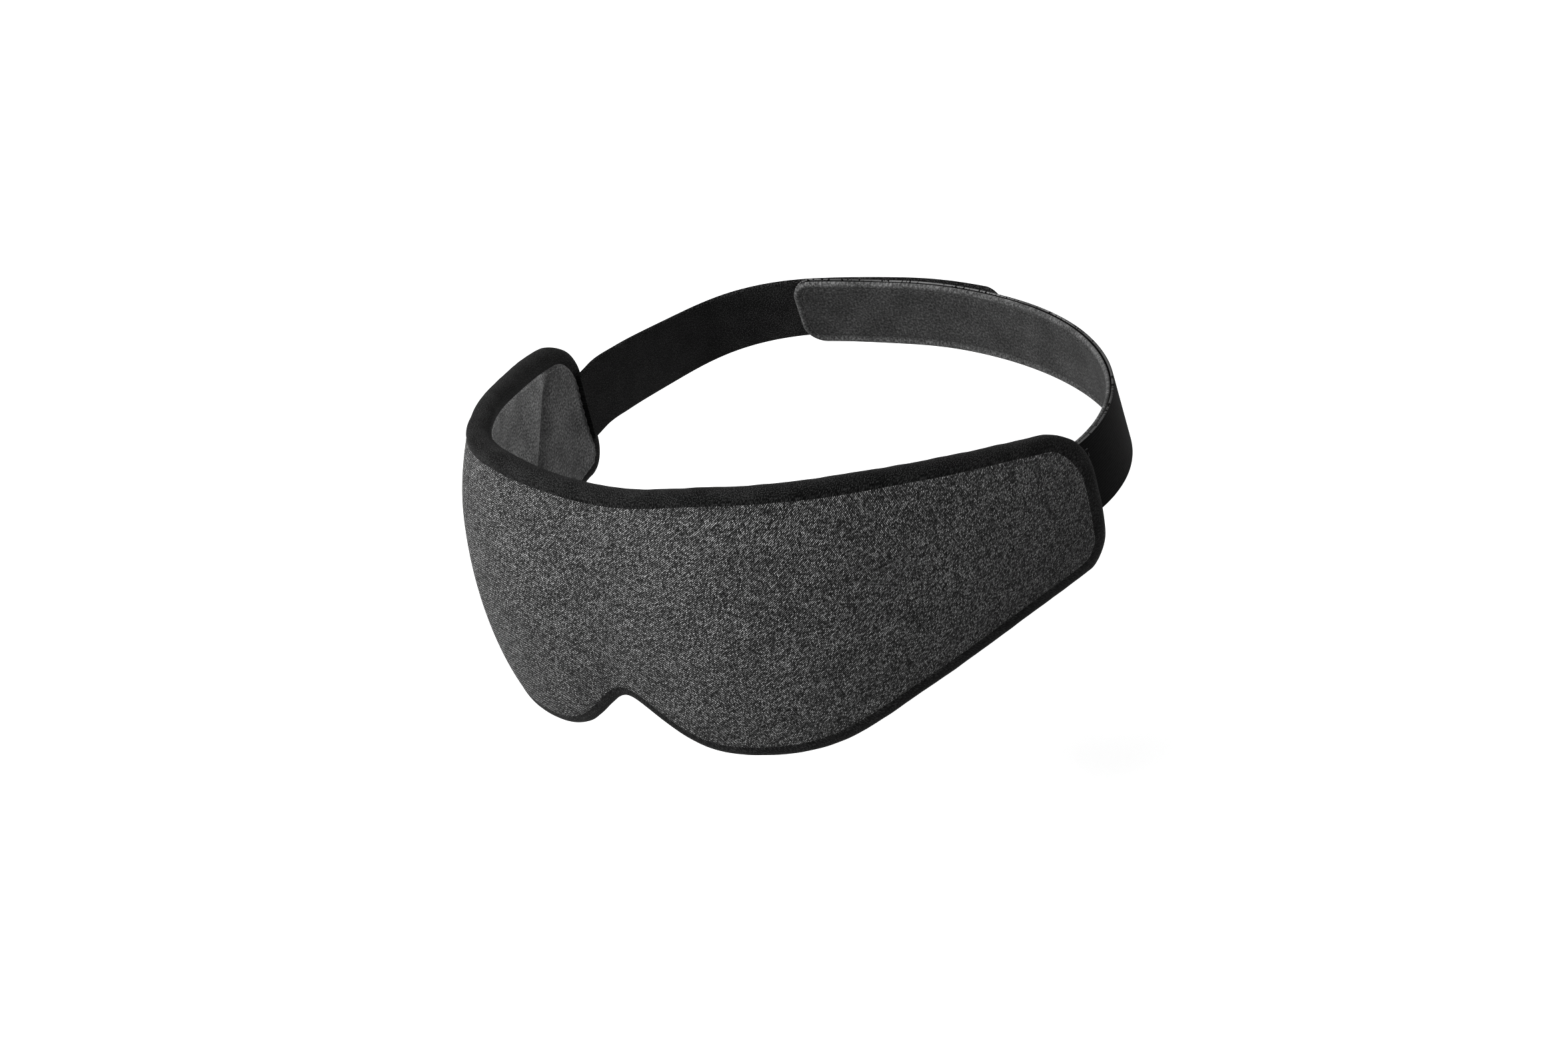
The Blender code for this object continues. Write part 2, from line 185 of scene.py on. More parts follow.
STITCH_LIFT = 0.12       # and its middle stands above it
SEAM_PITCH = 2.6
STRAP_PITCH = 2.2
PATCH_PITCH = 2.4
ANCHOR_BOX = (1.5, 4.0, 8.0)     # box at a strap's root: near side, far side, half its height
FRONT_THREAD = (0.25, 0.75)      # inset past the knit's seam, and depth
LINING_THREAD = (0.7, 0.10)      # inset past the lining's seam, and how far it stands out
FLOOR_DROP = 90.0        # from the lowest point to the floor
SHARP = math.radians(60)         # edges beyond this angle are shaded as sharp


# ---- curves and outlines ----

def bezier(p0, p1, p2, p3, count):
    """Points of a cubic Bezier in the plan."""
    t = np.linspace(0, 1, count)[:, None]
    p0, p1, p2, p3 = (np.asarray(p, float) for p in (p0, p1, p2, p3))
    return (1 - t) ** 3 * p0 + 3 * (1 - t) ** 2 * t * p1 + 3 * (1 - t) * t ** 2 * p2 + t ** 3 * p3


def lengths_along(points):
    """Distance of each point from the first, along the polyline."""
    return np.concatenate(([0.0], np.cumsum(np.linalg.norm(np.diff(points, axis=0), axis=1))))


def heading(angle):
    return np.array([math.cos(angle), math.sin(angle)])


def smooth_through(places, values, u):
    """Smooth curve through a few values, level at the first place."""
    places, values = np.asarray(places), np.asarray(values)
    slopes = np.gradient(values, places)
    slopes[0] = 0
    i = np.clip(np.searchsorted(places, u, side="right") - 1, 0, len(places) - 2)
    step = places[i + 1] - places[i]
    t = (u - places[i]) / step
    start = (1 + 2 * t) * (1 - t) ** 2 * values[i] + t * (1 - t) ** 2 * step * slopes[i]
    end = t ** 2 * (3 - 2 * t) * values[i + 1] + t ** 2 * (t - 1) * step * slopes[i + 1]
    return start + end


def ease(u, start, end):
    """0 before start, 1 after end, smooth between."""
    t = np.clip((u - start) / (end - start), 0, 1)
    return t * t * (3 - 2 * t)


TEMPLE = np.array([HALF_WIDTH, 0.0])
NOSE = np.array([0.0, -NOSE_REACH])
PAD_CURVE = bezier(NOSE, NOSE + [NOSE_HANDLE, 0],
                   TEMPLE - heading(TEMPLE_HEADING) * TEMPLE_HANDLE, TEMPLE, 3000)
PAD_LENGTHS = lengths_along(PAD_CURVE)
PAD_HALF = PAD_LENGTHS[-1]
PAD_TANGENTS = np.gradient(PAD_CURVE, axis=0)
PAD_TANGENTS /= np.linalg.norm(PAD_TANGENTS, axis=1)[:, None]


def pad_points(s, z, depth):
    """Points of the pad from arrays of s, z and depth."""
    s, z, depth = np.broadcast_arrays(s, z, depth)
    along = np.minimum(np.abs(s), PAD_HALF)
    x, y = (np.interp(along, PAD_LENGTHS, PAD_CURVE[:, k]) for k in (0, 1))
    tx, ty = (np.interp(along, PAD_LENGTHS, PAD_TANGENTS[:, k]) for k in (0, 1))
    drop = np.maximum(BROW_HEIGHT - z, 0.0)
    tucked = np.maximum(along / PAD_HALF - TUCK_START, 0.0) / (1 - TUCK_START)
    tuck = np.where(s < 0, RIGHT_TUCK * np.sin(math.pi * tucked) ** 2, 0.0)
    brow = (BROW_TUCK * np.exp(-((s - BROW_TUCK_PLACE) / BROW_TUCK_WIDTH) ** 2)
            * ease(z, *BROW_TUCK_HEIGHTS))
    inwards = LEAN_SLOPE * drop + LEAN_CURVE * drop ** 2 + depth + tuck + brow
    beyond = np.abs(s) - along
    x = x - ty * inwards + tx * beyond
    y = y + tx * inwards + ty * beyond
    return np.stack([np.copysign(1, s) * x, y, z], axis=-1)


def corner_drop(s, radius):
    """Height lost to a rounded corner at the pad's ends."""
    beyond = np.clip(np.abs(s) - (PAD_HALF - radius), 0, radius)
    return radius - np.sqrt(radius ** 2 - beyond ** 2)


def top_height(s):
    level = smooth_through(TOP_PLACES, TOP_HEIGHTS, np.abs(s) / PAD_HALF)
    return level - corner_drop(s, TOP_CORNER)


def bottom_height(s):
    notch = NOTCH_RISE * np.exp(-(s / NOTCH_HALF_WIDTH) ** 2)
    level = smooth_through(BOTTOM_PLACES, BOTTOM_HEIGHTS, np.abs(s) / PAD_HALF)
    return level + notch + corner_drop(s, BOTTOM_CORNER)


def front_seam(edge):
    """Inset of the knit's seam at (s, z) points."""
    s, z = edge[:, :1], edge[:, 1:]
    below = CHEEK_SEAM + (BOTTOM_SEAM - CHEEK_SEAM) * ease(s, *CHEEK_CHANGE)
    temple = TEMPLE_SEAM * ease(np.abs(s), PAD_HALF - TEMPLE_REACH, PAD_HALF)
    return TOP_SEAM + (below - TOP_SEAM) * ease(-z, *SEAM_CHANGE) + temple


def pad_edge(height, inwards, inset, count):
    """Even (s, z) points along an edge from the right end to the left, moved in by inset,
    which may be a function of the points."""
    s = PAD_HALF * np.sin(np.linspace(-math.pi / 2, math.pi / 2, 4001))
    edge = np.stack([s, height(s)], axis=1)
    along = np.gradient(edge, axis=0)
    along /= np.linalg.norm(along, axis=1)[:, None]
    normal = np.stack([-along[:, 1], along[:, 0]], axis=1) * inwards
    lengths = lengths_along(edge)
    places = np.linspace(0, lengths[-1], count)
    moved = edge + normal * (inset(edge) if callable(inset) else inset)
    return np.stack([np.interp(places, lengths, moved[:, k]) for k in (0, 1)], axis=1)


def pad_loop(inset, count):
    """(s, z) points once around the pad's outline, moved in by inset."""
    top = pad_edge(top_height, -1, inset, 1500)
    bottom = pad_edge(bottom_height, 1, inset, 1500)[::-1]
    ring = np.concatenate([top, bottom, top[:1]])
    lengths = lengths_along(ring)
    places = np.linspace(0, lengths[-1], count + 1)[:-1]
    return np.stack([np.interp(places, lengths, ring[:, k]) for k in (0, 1)], axis=1)


OUTLINE = pad_loop(0.0, OUTLINE_POINTS)


def rim_distance(s, z, outline=OUTLINE):
    """Distance of each pad point from an outline."""
    points = np.stack([np.ravel(s), np.ravel(z)], axis=1)
    nearest = [np.sqrt(((part[:, None] - outline[None]) ** 2).sum(-1)).min(1)
               for part in np.array_split(points, 40)]
    return np.concatenate(nearest).reshape(np.shape(s))


def face_depth(s, z, rim):
    """Depth of the face side: padding that swells from the rim, with a hollow over each eye."""
    swell = PADDING_RISE * (1 - np.exp(-rim / PADDING_FALLOFF))
    reach = (((np.abs(s) - EYE_OFFSET) / EYE_HALF_WIDTH) ** 2
             + ((z - EYE_HEIGHT) / EYE_HALF_HEIGHT) ** 2)
    return PAD_DEPTH + swell - EYE_RECESS * np.maximum(1 - reach, 0.0) ** 1.5


def loop_half(side, handles, leave):
    """Plan points of one strap's side of the loop, from its root to the back point."""
    out = heading(TEMPLE_HEADING) * [side, 1]
    start = heading(leave) * [side, 1]
    inwards = np.array([-math.sin(TEMPLE_HEADING) * side, math.cos(TEMPLE_HEADING)])
    root = TEMPLE * [side, 1] + out * (RIM_BULGE + ROOT_CLEARANCE) + inwards * ROOT_DEPTH
    back = np.array(BACK_POINT)
    return bezier(root, root + start * handles[0],
                  back + side * heading(BACK_HEADING) * handles[1], back, 2000)


LOOP_CURVE = np.concatenate([loop_half(-1, RIGHT_HANDLES, RIGHT_LEAVE),
                             loop_half(1, LEFT_HANDLES, LEFT_LEAVE)[-2::-1]])
LOOP_LENGTHS = lengths_along(LOOP_CURVE)
LOOP_TOTAL = LOOP_LENGTHS[-1]
LOOP_TANGENTS = np.gradient(LOOP_CURVE, LOOP_LENGTHS, axis=0)
LOOP_TANGENTS /= np.linalg.norm(LOOP_TANGENTS, axis=1)[:, None]
HOOK_END = TAB_TIP - 2 * HOOK_INSET / LOOP_TOTAL


def loop_points(u, across, outwards):
    """Points of the headband from arrays of u, across and outwards. Past its ends it runs straight
    on."""
    u, across, outwards = np.broadcast_arrays(u, across, outwards)
    s = np.clip(u, 0, 1) * LOOP_TOTAL
    beyond = u * LOOP_TOTAL - s
    x, y = (np.interp(s, LOOP_LENGTHS, LOOP_CURVE[:, k]) for k in (0, 1))
    tx, ty = (np.interp(s, LOOP_LENGTHS, LOOP_TANGENTS[:, k]) for k in (0, 1))
    lean = smooth_through(LOOP_PLACES, LOOP_LEANS, np.clip(u, 0, 1))
    up = np.stack([ty * lean, -tx * lean, np.ones_like(lean)], axis=-1)
    up /= np.linalg.norm(up, axis=-1)[..., None]
    along = np.stack([tx, ty, np.zeros_like(tx)], axis=-1)
    normal = np.cross(up, along)
    height = smooth_through(LOOP_PLACES, LOOP_HEIGHTS, np.clip(u, 0, 1))
    centre = np.stack([x, y, height], axis=-1) + along * beyond[..., None]
    return centre + up * across[..., None] + normal * outwards[..., None]


def strap_half_width(u):
    return smooth_through(LOOP_PLACES, LOOP_WIDTHS, np.clip(u, 0, 1)) / 2


def band_half_width(u):
    return strap_half_width(u) - BAND_MARGIN


def band_layer(u):
    """Inner and outer distance of the black band, which moves out to clear the grey strap."""
    clear = LOOP_FACE_LAYER[1] + 2 * GAP + HOOK_THICKNESS
    inner = -BAND_THICKNESS / 2 + (clear + BAND_THICKNESS / 2) * ease(u, *BAND_EASE)
    return inner, inner + BAND_THICKNESS


def band_drop(u):
    """How far the black band lies below the loop curve's middle height."""
    return smooth_through(BAND_PLACES, BAND_DROPS, np.clip(u, 0, BAND_PLACES[-1]))


# ---- meshes ----

def make_piece(name, points, faces, cloth):
    """Mesh object from points in mm. cloth is each point's place on the cloth, for the weave, and
    on a strap also its distance from the edge."""
    mesh = bpy.data.meshes.new(name)
    mesh.from_pydata((points * MM).tolist(), [], faces)
    bm = bmesh.new()
    bm.from_mesh(mesh)
    bmesh.ops.recalc_face_normals(bm, faces=bm.faces)
    bm.to_mesh(mesh)
    bm.free()
    places = np.zeros((len(points), 3), np.float32)
    places[:, :cloth.shape[1]] = cloth
    mesh.attributes.new("cloth", "FLOAT_VECTOR", "POINT").data.foreach_set("vector", places.ravel())
    mesh.shade_smooth()
    mesh.set_sharp_from_angle(angle=SHARP)
    obj = bpy.data.objects.new(name, mesh)
    bpy.context.scene.collection.objects.link(obj)
    return obj


def grid_quads(index, around=False, along=False):
    """Quads of a grid of point numbers, closed around its rows or along its columns if asked."""
    if around:
        index = np.concatenate([index, index[:, :1]], axis=1)
    if along:
        index = np.concatenate([index, index[:1]], axis=0)
    corners = (index[:-1, :-1], index[1:, :-1], index[1:, 1:], index[:-1, 1:])
    return np.stack([c.ravel() for c in corners], axis=1)


def quilt(name, near, far, cloth):
    """Closed mesh between two grids of points, which share the points where they meet."""
    columns, rows = near.shape[:2]
    near_index = np.arange(columns * rows).reshape(columns, rows)
    meet = np.linalg.norm(near - far, axis=-1) < 1e-4
    far_index = np.where(meet, near_index, near_index + columns * rows)
    walls = [grid_quads(np.stack([near_index[edge], far_index[edge]], axis=1))
             for edge in ((0, slice(None)), (-1, slice(None)), (slice(None), 0), (slice(None), -1))]
    quads = np.concatenate([grid_quads(near_index), grid_quads(far_index), *walls])
    used, numbers = np.unique(quads, return_inverse=True)
    faces = [list(dict.fromkeys(quad)) for quad in numbers.reshape(quads.shape).tolist()]
    points = np.concatenate([near.reshape(-1, 3), far.reshape(-1, 3)])[used]
    places = np.concatenate([cloth.reshape(-1, cloth.shape[-1])] * 2)[used]
    return make_piece(name, points, [face for face in faces if len(face) > 2], places)


def crowded(count):
    """Steps from 0 to 1 that crowd towards both ends."""
    crowd = 0.85
    t = np.linspace(0, 1, count)
    return t - crowd * np.sin(2 * math.pi * t) / (2 * math.pi)


def pad_grid(inset, columns, rows):
    """(s, z) grid over the pad, moved in from its outline by inset."""
    top = pad_edge(top_height, -1, inset, columns)[:, None]
    bottom = pad_edge(bottom_height, 1, inset, columns)[:, None]
    rise = crowded(rows)[None, :, None]
    grid = bottom * (1 - rise) + top * rise
    return grid[..., 0], grid[..., 1]


def round_over(distance, radius):
    """0 at an edge and 1 past the radius, along a quarter circle."""
    inside = np.clip(distance / radius, 0, 1)
    return np.sqrt(1 - (1 - inside) ** 2)


def soft_noise(a, b, scale, seed):
    """Smooth seeded unevenness from -1 to 1 over cloth places in mm."""
    random = np.random.default_rng(seed)
    total = np.zeros(np.shape(a))
    waves = 9
    for _ in range(waves):
        angle, phase = random.uniform(0, 2 * math.pi, 2)
        wave = random.uniform(0.7, 1.6) * 2 * math.pi / scale
        total = total + np.sin(wave * (a * math.cos(angle) + b * math.sin(angle)) + phase)
    return total / 4


# ---- procedural materials ----

class Shader:
    """A material whose methods add nodes and return their output sockets."""

    def __init__(self, name, roughness, sheen=0.0, specular=0.3):
        self.material = bpy.data.materials.new(name)
        self.material.use_nodes = True
        self.tree = self.material.node_tree
        self.surface = self.tree.nodes["Principled BSDF"]
        self.surface.inputs["Roughness"].default_value = roughness
        self.surface.inputs["Sheen Weight"].default_value = sheen
        self.surface.inputs["Sheen Roughness"].default_value = 0.5
        self.surface.inputs["Specular IOR Level"].default_value = specular

    def feed(self, socket, value):
        if isinstance(value, bpy.types.NodeSocket):
            self.tree.links.new(value, socket)
        else:
            socket.default_value = value

    def node(self, kind, output, inputs, **settings):
        node = self.tree.nodes.new("ShaderNode" + kind)
        for key, value in settings.items():
            setattr(node, key, value)
        for key, value in inputs.items():
            self.feed(node.inputs[key], value)
        return node.outputs[output]

    def math(self, operation, *values):
        return self.node("Math", 0, dict(enumerate(values)), operation=operation)

    def cloth(self):
        """Place on the cloth in mm, along and across."""
        place = self.node("Attribute", "Vector", {}, attribute_name="cloth")
        return [self.node("SeparateXYZ", axis, {"Vector": place}) for axis in ("X", "Y")]

    def from_edge(self):
        """Distance from a strap's edge in mm."""
        place = self.node("Attribute", "Vector", {}, attribute_name="cloth")
        return self.node("SeparateXYZ", "Z", {"Vector": place})

    def at(self, x, y, z=0.0):
        return self.node("CombineXYZ", 0, {"X": x, "Y": y, "Z": z})

    def noise(self, x, y, scale, detail=2.0):
        inputs = {"Vector": self.at(x, y), "Scale": scale, "Detail": detail}
        return self.node("TexNoise", "Fac", inputs)

    def chance(self, x, y):
        return self.node("TexWhiteNoise", "Value", {"Vector": self.at(x, y)}, noise_dimensions="2D")

    def range(self, value, low, high, to_low, to_high):
        inputs = {"Value": value, "From Min": low, "From Max": high,
                  "To Min": to_low, "To Max": to_high}
        return self.node("MapRange", 0, inputs)

    def wave(self, value, pitch):
        """Sine wave of a pitch in mm."""
        return self.math("SINE", self.math("MULTIPLY", value, 2 * math.pi / pitch))

    def unit(self, wave):
        """A wave of -1 to 1 as 0 to 1."""
        return self.range(wave, -1.0, 1.0, 0.0, 1.0)

    def mix(self, *parts):
        """Sum of values times their weights."""
        weighed = [self.math("MULTIPLY", value, weight) for value, weight in parts]
        total = weighed[0]
        for value in weighed[1:]:
            total = self.math("ADD", total, value)
        return total

    def greys(self, value, stops):
        """Colour ramp of greys; stops are (position, grey)."""
        node = self.tree.nodes.new("ShaderNodeValToRGB")
        ramp = node.color_ramp
        while len(ramp.elements) < len(stops):
            ramp.elements.new(0.5)
        for element, (position, grey) in zip(ramp.elements, stops):
            element.position = position
            element.color = (grey, grey, grey, 1)
        self.feed(node.inputs["Fac"], value)
        return node.outputs["Color"]

    def tint(self, colour, factor):
        """Colour times a factor."""
        return self.node("VectorMath", 0, {0: colour, 1: self.at(factor, factor, factor)},
                         operation="MULTIPLY")

    def finish(self, colour, height, relief):
        """Sets the colour, and the bump from a height of 0 to 1 with a relief in mm."""
        self.feed(self.surface.inputs["Base Color"], colour)
        bump = {"Height": height, "Distance": relief * MM, "Strength": 1.0}
        self.feed(self.surface.inputs["Normal"], self.node("Bump", "Normal", bump))
        return self.material


WALE = 0.70              # sideways step between the slanted knit stitches
COURSE = 0.50            # height of one row


def heather_knit():
    """Charcoal jersey knit of dark and pale yarn. Its stitches slant up to the wearer's left."""
    g = Shader("heather_knit", roughness=0.9, sheen=0.03, specular=0.05)
    along, up = g.cloth()
    wale = g.math("DIVIDE", along, WALE)
    course = g.math("SUBTRACT", g.math("DIVIDE", up, COURSE), wale)
    leg = g.mix((wale, 2.0), (g.math("FLOOR", course), 0.37))
    stitch = g.chance(g.math("FLOOR", leg), g.math("FLOOR", g.math("MULTIPLY", course, 2.0)))
    fibre = g.noise(along, up, 5.0, 0.0)
    streak = g.noise(g.math("MULTIPLY", along, 0.3), g.math("MULTIPLY", up, 1.8), 1.0, 1.0)
    patch = g.noise(g.math("MULTIPLY", along, 0.06), g.math("MULTIPLY", up, 0.15), 1.0)
    mixed = g.mix((stitch, 0.5), (fibre, 0.5), (g.math("SUBTRACT", streak, 0.5), 0.2),
                  (g.math("SUBTRACT", patch, 0.5), 0.12))
    colour = g.greys(mixed, ((0.25, 0.015), (0.42, 0.06), (0.55, 0.14), (0.66, 0.33), (0.78, 0.8)))
    across_leg = g.math("SINE", g.math("MULTIPLY", g.math("FRACT", course), math.pi))
    along_leg = g.math("SINE", g.math("MULTIPLY", g.math("FRACT", leg), math.pi))
    height = g.math("MULTIPLY", across_leg, g.range(along_leg, 0.0, 1.0, 0.55, 1.0))
    groove = g.math("ABSOLUTE", g.math("SINE", g.math("MULTIPLY", wale, math.pi)))
    shade = g.math("MULTIPLY", g.range(height, 0.2, 1.0, 0.0, 1.0),
                   g.range(groove, 0.0, 0.6, 0.6, 1.0))
    return g.finish(g.tint(colour, shade), height, 0.15)


def grey_lining():
    """Soft brushed knit on the face side of the pad, with painted shade in the fold and past it. On
    the left strap it is pressed flat and darker inside its border."""
    g = Shader("grey_lining", roughness=0.95, sheen=0.04, specular=0.04)
    along, up = g.cloth()
    nap = g.noise(along, up, 1.6, 3.0)
    fibre = g.noise(g.math("MULTIPLY", along, 2.0), up, 5.0, 3.0)
    patch = g.noise(along, up, 0.12)
    mixed = g.mix((nap, 0.5), (fibre, 0.35), (patch, 0.15))
    colour = g.greys(mixed, ((0.38, 0.03), (0.5, 0.115), (0.62, 0.33)))
    on_pad = g.math("LESS_THAN", g.from_edge(), 0.001)
    pressed = g.range(g.from_edge(), 0.3, 2.4, 0.6, 0.25)
    beside = g.math("SUBTRACT", g.math("ADD", up, CREASE_PLACE[0] - CREASE_PLACE[1]),
                    g.math("ABSOLUTE", along))       # from the fold, towards the nose
    # painted shade of the fold across each wing: darkest in the fold, lighter past it, full tone
    # towards the nose
    before = g.range(beside, 0.0, 7.0, 0.36, 1.0)
    beyond = g.range(beside, -14.0, 0.0, 0.66, 0.36)
    fold_painted_shade = g.math("MAXIMUM", before, beyond)
    # the pad lining's own brighter tone times the painted shade of the fold
    pad_tone_and_painted_shade = g.math("MULTIPLY", g.math("MULTIPLY", on_pad, 1.7), fold_painted_shade)
    return g.finish(g.tint(colour, g.math("MAXIMUM", pad_tone_and_painted_shade, pressed)), mixed, 0.35)


def black_band():
    """Fine black stretch knit of the rim and the right strap."""
    g = Shader("black_band", roughness=0.85, sheen=0.015, specular=0.05)
    along, up = g.cloth()
    knit = g.unit(g.math("MULTIPLY", g.wave(along, 0.55), g.wave(up, 0.45)))
    fibre = g.noise(along, up, 3.0)
    patch = g.noise(along, up, 0.15)
    mixed = g.mix((fibre, 0.85), (patch, 0.15))
    colour = g.greys(mixed, ((0.4, 0.0008), (0.5, 0.0045), (0.6, 0.032)))
    return g.finish(colour, g.mix((knit, 0.6), (fibre, 0.4)), 0.12)


def loop_face():
    """Black loop fabric with fine ribs along the strap and pale threads at its edges."""
    g = Shader("loop_face", roughness=0.9, sheen=0.01, specular=0.04)
    along, up = g.cloth()
    loops = g.noise(g.math("MULTIPLY", along, 1.5), up, 3.2, 3.0)
    height = g.mix((g.unit(g.wave(up, 0.75)), 0.4), (loops, 0.6))
    colour = g.greys(height, ((0.15, 0.001), (0.5, 0.0018), (0.85, 0.005)))
    edge = g.math("LESS_THAN", g.from_edge(), 0.22)
    pale = g.math("MULTIPLY", edge, g.math("GREATER_THAN", g.noise(along, up, 1.2, 1.0), 0.42))
    return g.finish(g.tint(colour, g.range(pale, 0.0, 1.0, 1.0, 40.0)), height, 0.1)


def hook_tape():
    """Black woven ground of the hook tape."""
    g = Shader("hook_tape", roughness=0.5, specular=0.5)
    along, up = g.cloth()
    height = g.unit(g.math("MULTIPLY", g.wave(along, 0.5), g.wave(up, 0.5)))
    return g.finish(g.greys(height, ((0.1, 0.006), (0.9, 0.02))), height, 0.12)


def foam():
    """Pale open-cell foam."""
    g = Shader("foam", roughness=0.95, specular=0.1)
    along, up = g.cloth()
    cells = g.node("TexVoronoi", "Distance", {"Vector": g.at(along, up), "Scale": 2.2})
    return g.finish(g.greys(cells, ((0.0, 0.32), (0.6, 0.55))), cells, 0.2)


def thread_material(name, dark, light):
    """Twisted sewing thread."""
    g = Shader(name, roughness=0.6, sheen=0.1, specular=0.4)
    along, up = g.cloth()
    twist = g.wave(g.math("ADD", along, up), 0.35)
    return g.finish(g.greys(g.unit(twist), ((0.1, dark), (0.9, light))), twist, 0.05)


MATERIALS = {
    "heather_knit": heather_knit(),
    "foam": foam(),
    "grey_lining": grey_lining(),
    "black_band": black_band(),
    "loop_face": loop_face(),
    "hook_tape": hook_tape(),
    "grey_thread": thread_material("grey_thread", 0.10, 0.30),
    "black_thread": thread_material("black_thread", 0.008, 0.03),
}


def dress(piece, slot_name, nodes):
    """Gives a piece its material and hides the CAD nodes that it stands for."""
    piece.data.materials.append(MATERIALS[slot_name])
    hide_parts(*nodes)
    return piece


def on_mask(piece, slot_name, *nodes):
    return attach(dress(piece, slot_name, nodes), "mask")


# ---- the padded mask ----

def swell_cloth(piece, cap):
    """Cloth simulation of a sheet that is held at its edges and pressed out by padding. cap is how
    far each point may move, in metres."""
    mesh = piece.data
    rest = np.array([v.co for v in mesh.vertices], float)
    held = piece.vertex_groups.new(name="held")
    counts = np.zeros(len(mesh.edges), int)
    edge_of = {tuple(sorted(e.vertices)): e.index for e in mesh.edges}
    for polygon in mesh.polygons:
        for key in polygon.edge_keys:
            counts[edge_of[tuple(sorted(key))]] += 1
    border = {v for e in mesh.edges if counts[e.index] == 1 for v in e.vertices}
    held.add(sorted(border), 1.0, "REPLACE")
    cloth = piece.modifiers.new("cloth", "CLOTH")
    settings = cloth.settings
    settings.quality = 6
    settings.mass = 0.2
    settings.vertex_group_mass = "held"
    settings.bending_stiffness = 0.5
    settings.use_pressure = True
    settings.uniform_pressure_force = SWELL_PUSH
    settings.shrink_min = -0.02
    settings.effector_weights.gravity = 0
    cloth.collision_settings.use_collision = False
    scene = bpy.context.scene
    for number in range(1, SWELL_FRAMES + 1):
        scene.frame_set(number)
    graph = bpy.context.evaluated_depsgraph_get()
    moved = np.array([v.co for v in piece.evaluated_get(graph).data.vertices], float)
    piece.modifiers.remove(cloth)
    scene.frame_set(1)
    shift = moved - rest
    size = np.linalg.norm(shift, axis=1)[:, None]
    shift *= np.minimum(1, cap[:, None] / np.maximum(size, 1e-9))
    mesh.vertices.foreach_set("co", (rest + shift).astype(np.float32).ravel())
    mesh.update()


def knit_cover():
    """Heather knit over the front, turned into the rim seam all round."""
    s, z = pad_grid(front_seam, COLUMNS, COVER_ROWS)
    rim = rim_distance(s, z, pad_loop(front_seam, OUTLINE_POINTS))
    crown = COVER_CROWN * (1 - np.exp(-rim / COVER_CROWN_REACH))
    uneven = COVER_UNEVEN * soft_noise(s, z, scale=45, seed=3)
    front = SEAM_TUCK * (1 - round_over(rim, SEAM_ROUND)) - crown + uneven
    near, far = pad_points(s, z, front), pad_points(s, z, front + SHEET_THICKNESS)
    cover = quilt("knit_cover", near, far, np.stack([s, z], axis=-1))
    return on_mask(cover, "heather_knit", "outer_cover")


def wing_fold(s, z, rim):
    """Soft fold of the pad's face side across each wing, and the swelling beside it."""
    beside = (CREASE_PLACE[0] - np.abs(s) + z - CREASE_PLACE[1]) / math.sqrt(2)
    swell = CREASE_SWELL * np.exp(-((beside - 2 * CREASE_WIDTH) / (1.5 * CREASE_WIDTH)) ** 2)
    crease = CREASE_DEPTH * np.exp(-(beside / CREASE_WIDTH) ** 2)
    return (swell - crease) * ease(rim, *CREASE_EASE)


def foam_pad():
    """Foam between the cover and the lining."""
    s, z = pad_grid(SEAM_INSET + SEAM_GAP + CLOTH, COLUMNS // 2, FOAM_ROWS)
    rim = rim_distance(s, z)
    thin = round_over(rim - rim.min(), 2.0)
    front = CLOTH + GAP
    back = face_depth(s, z, rim) + wing_fold(s, z, rim) - CLOTH - GAP
    middle, half = (front + back) / 2, (back - front) / 2 * thin
    near, far = pad_points(s, z, middle - half), pad_points(s, z, middle + half)
    pad = quilt("foam_pad", near, far, np.stack([s, z], axis=-1))
    return on_mask(pad, "foam", "foam_core")


def lining_depth(s, z):
    """Depth of the lining's visible side, turned into the rim seam."""
    rim = rim_distance(s, z)
    turned = SEAM_TUCK * (1 - round_over(rim - LINING_SEAM, SEAM_ROUND))
    return face_depth(s, z, rim) + wing_fold(s, z, rim) - turned


def face_lining():
    """Brushed lining on the face side, swollen by the foam behind it."""
    s, z = pad_grid(LINING_SEAM, COLUMNS, LINING_ROWS)
    depth = lining_depth(s, z)
    index = np.arange(s.size).reshape(s.shape)
    cloth = np.stack([s, z], axis=-1).reshape(-1, 2)
    sheet = make_piece("face_lining", pad_points(s, z, depth).reshape(-1, 3),
                       grid_quads(index).tolist(), cloth)
    swell_cloth(sheet, SWELL_CAP * MM * ease(rim_distance(s, z).ravel(), *SWELL_EASE))
    thick = sheet.modifiers.new("thick", "SOLIDIFY")
    thick.thickness = SHEET_THICKNESS * MM
    thick.offset = -1
    return on_mask(sheet, "grey_lining", "inner_lining")


